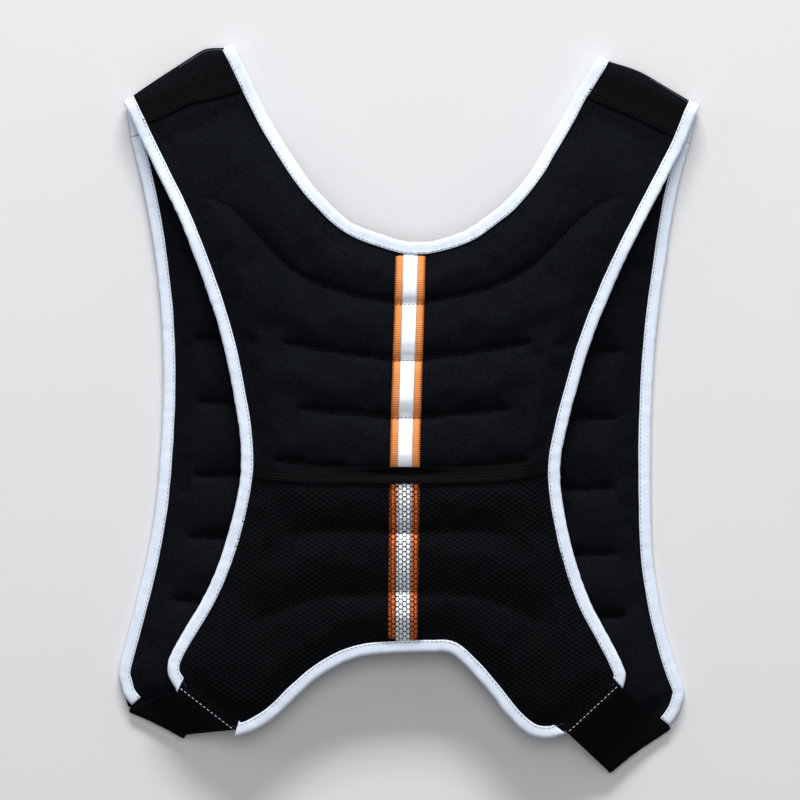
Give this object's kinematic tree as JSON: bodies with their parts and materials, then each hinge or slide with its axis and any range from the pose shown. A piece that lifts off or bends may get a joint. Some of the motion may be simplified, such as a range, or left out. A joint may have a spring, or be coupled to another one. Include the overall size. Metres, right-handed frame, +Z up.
{
  "type": "weighted vest",
  "caption": "Weighted running vest laid flat with its back up: quilted dark neoprene, white edge binding, reflective centre ribbon and a net pocket on the lower back",
  "frame": {"origin": "centre of the bounding box in plan, on the surface that the vest lies on", "axes": "+Z up from the surface, +Y towards the neck opening, +X to the viewer's right when the back faces up"},
  "size_m": [0.3896, 0.4886, 0.0411],
  "materials": {
    "neoprene": "matt fine-knit neoprene",
    "binding": "woven white binding tape",
    "ribbon": "ribbed orange ribbon",
    "reflector": "silver retroreflective tape",
    "elastic": "ribbed black elastic",
    "net": "black stretch net",
    "webbing": "black woven webbing",
    "buckle": "moulded black plastic"
  },
  "bodies": {
    "root": {"back_panel": "neoprene", "front_panel_left": "neoprene", "front_panel_right": "neoprene", "shoulder_elastic_left": "elastic", "shoulder_elastic_right": "elastic", "side_elastic_left": "elastic", "side_elastic_right": "elastic", "ribbon_tape": "ribbon", "ribbon_reflector": "reflector", "pocket_net": "net", "pocket_elastic": "elastic", "buckle_upper": "buckle", "buckle_lower": "buckle", "neck_binding": "binding", "back_side_binding_left": "binding", "back_side_binding_right": "binding", "hem_binding": "binding", "front_outer_binding_left": "binding", "front_outer_binding_right": "binding", "front_inner_binding_left": "binding", "front_inner_binding_right": "binding", "front_strap_upper_left": "webbing", "front_strap_upper_right": "webbing", "front_strap_lower_left": "webbing", "front_strap_lower_right": "webbing"}
  },
  "joints": []
}
